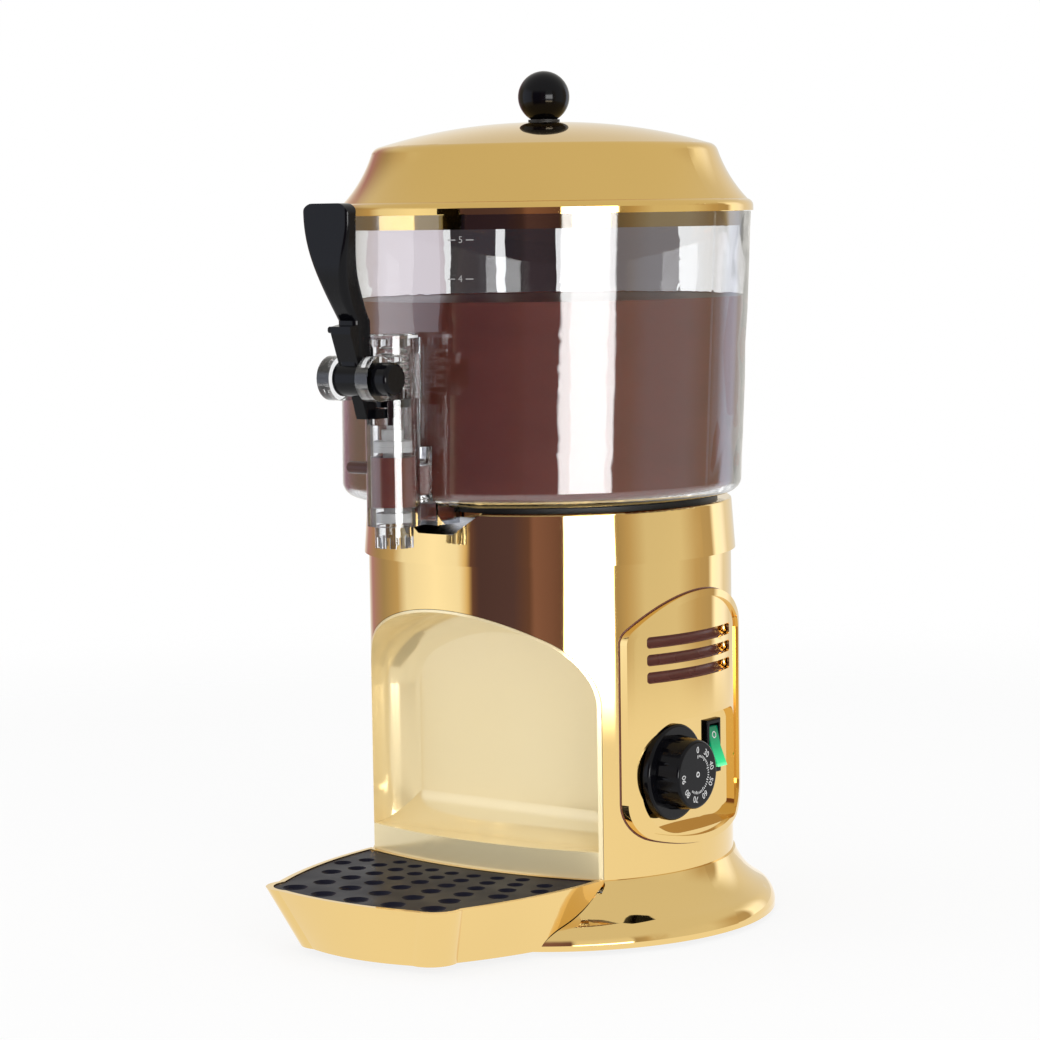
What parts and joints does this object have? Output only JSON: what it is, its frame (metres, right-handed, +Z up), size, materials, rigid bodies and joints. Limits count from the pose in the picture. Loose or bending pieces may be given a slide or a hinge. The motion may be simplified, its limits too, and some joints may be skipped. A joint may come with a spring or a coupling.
{
  "type": "hot chocolate dispenser",
  "caption": "Counter-top hot drink dispenser: flared foot, cylinder with cup alcove and control panel, clear bowl with lever tap, domed lid, drip tray.",
  "frame": {"origin": "on the counter, on the axis of the bowl and body", "axes": "+Z up, -Y towards the front with the tap and tray, +X towards the control panel"},
  "size_m": [0.257, 0.3217, 0.4839],
  "materials": {
    "aluminium": "cast",
    "black_plastic": "glossy black",
    "bronze": "plain",
    "brown_plastic": "glossy brown",
    "clear_polycarbonate": "clear, glossy",
    "gold_plating": "mirror polished gold plating",
    "green_lens": "translucent green",
    "grey_plastic": "matte",
    "grille_plastic": "glossy blue-black",
    "lid_plating": "mirror polished darker gold plating",
    "black_rubber": "matte",
    "stainless_steel": "satin",
    "white_plastic": "glossy white",
    "zinc_steel": "bright"
  },
  "bodies": {
    "housing": {"base_foot": "gold_plating", "bottom_plate": "stainless_steel", "foot_ring": "black_rubber", "base_screws": "zinc_steel", "body_shell": "gold_plating", "niche_liner": "gold_plating", "upper_collar": "gold_plating", "side_panel": "gold_plating", "switch_frame": "black_plastic", "thermostat_body": "grey_plastic", "mounting_deck": "stainless_steel", "gear_motor": "aluminium", "motor_screws": "zinc_steel", "water_tank": "stainless_steel", "heating_element": "stainless_steel", "shaft_bush": "bronze", "bowl_gasket": "black_rubber", "cord_gland": "black_plastic", "terminal_block": "white_plastic"},
    "knob": {"thermostat_knob": "black_plastic", "thermostat_spindle": "zinc_steel"},
    "rocker": {"switch_rocker": "green_lens"},
    "shaft": {"drive_shaft": "stainless_steel"},
    "bowl_unit": {"bowl": "clear_polycarbonate", "heat_plate": "stainless_steel", "plate_seal": "black_rubber", "tap_body": "clear_polycarbonate", "tap_cap": "clear_polycarbonate", "tap_nozzle": "clear_polycarbonate", "tap_lock_pin": "brown_plastic", "lever_pin": "black_plastic"},
    "mixer": {"stirrer": "white_plastic"},
    "lever": {"tap_lever": "black_plastic"},
    "piston": {"tap_piston": "white_plastic", "piston_seal": "black_rubber", "piston_head": "black_plastic", "tap_spring": "stainless_steel"},
    "cover": {"lid": "lid_plating", "lid_knob": "black_plastic", "knob_washer": "black_rubber", "knob_screw": "zinc_steel"},
    "tray": {"drip_tray": "gold_plating"},
    "grille": {"tray_grille": "grille_plastic"}
  },
  "joints": [
    {"name": "bowl_lift", "type": "slide", "parent": "housing", "child": "bowl_unit", "axis": [0, 0, 1], "range_m": [0, 0.08]},
    {"name": "lid_lift", "type": "slide", "parent": "bowl_unit", "child": "cover", "axis": [0, 0, 1], "range_m": [0, 0.12]},
    {"name": "shaft_spin", "type": "hinge", "parent": "housing", "child": "shaft", "pos_m": [0, 0, 0.25], "axis": [0, 0, 1], "continuous": true},
    {"name": "mixer_spin", "type": "hinge", "parent": "bowl_unit", "child": "mixer", "pos_m": [0, 0, 0.25], "axis": [0, 0, 1], "continuous": true},
    {"name": "lever_pivot", "type": "hinge", "parent": "bowl_unit", "child": "lever", "pos_m": [0, -0.17, 0.317], "axis": [1, 0, 0], "range_deg": [0, 25], "stiffness_Nm_per_rad": 1, "springref_deg": -8.59},
    {"name": "piston_slide", "type": "slide", "parent": "bowl_unit", "child": "piston", "axis": [0, 0, 1], "range_m": [0, 0.012], "deforming": ["tap_spring"]},
    {"name": "knob_turn", "type": "hinge", "parent": "housing", "child": "knob", "pos_m": [0.105, -0.0215, 0.0923], "axis": [1, 0, 0], "range_deg": [0, 270]},
    {"name": "rocker_tilt", "type": "hinge", "parent": "housing", "child": "rocker", "pos_m": [0.0945, 0.025, 0.1], "axis": [0, 1, 0], "range_deg": [0, 20]},
    {"name": "tray_slide", "type": "slide", "parent": "housing", "child": "tray", "axis": [0, -1, 0], "range_m": [0, 0.12]},
    {"name": "grille_lift", "type": "slide", "parent": "tray", "child": "grille", "axis": [0, 0, 1], "range_m": [0, 0.05]}
  ],
  "couplings": [
    {"joint": "mixer_spin", "follows": "shaft_spin", "ratio": 1},
    {"joint": "piston_slide", "follows": "lever_pivot", "m_per_rad": 0.02647}
  ]
}
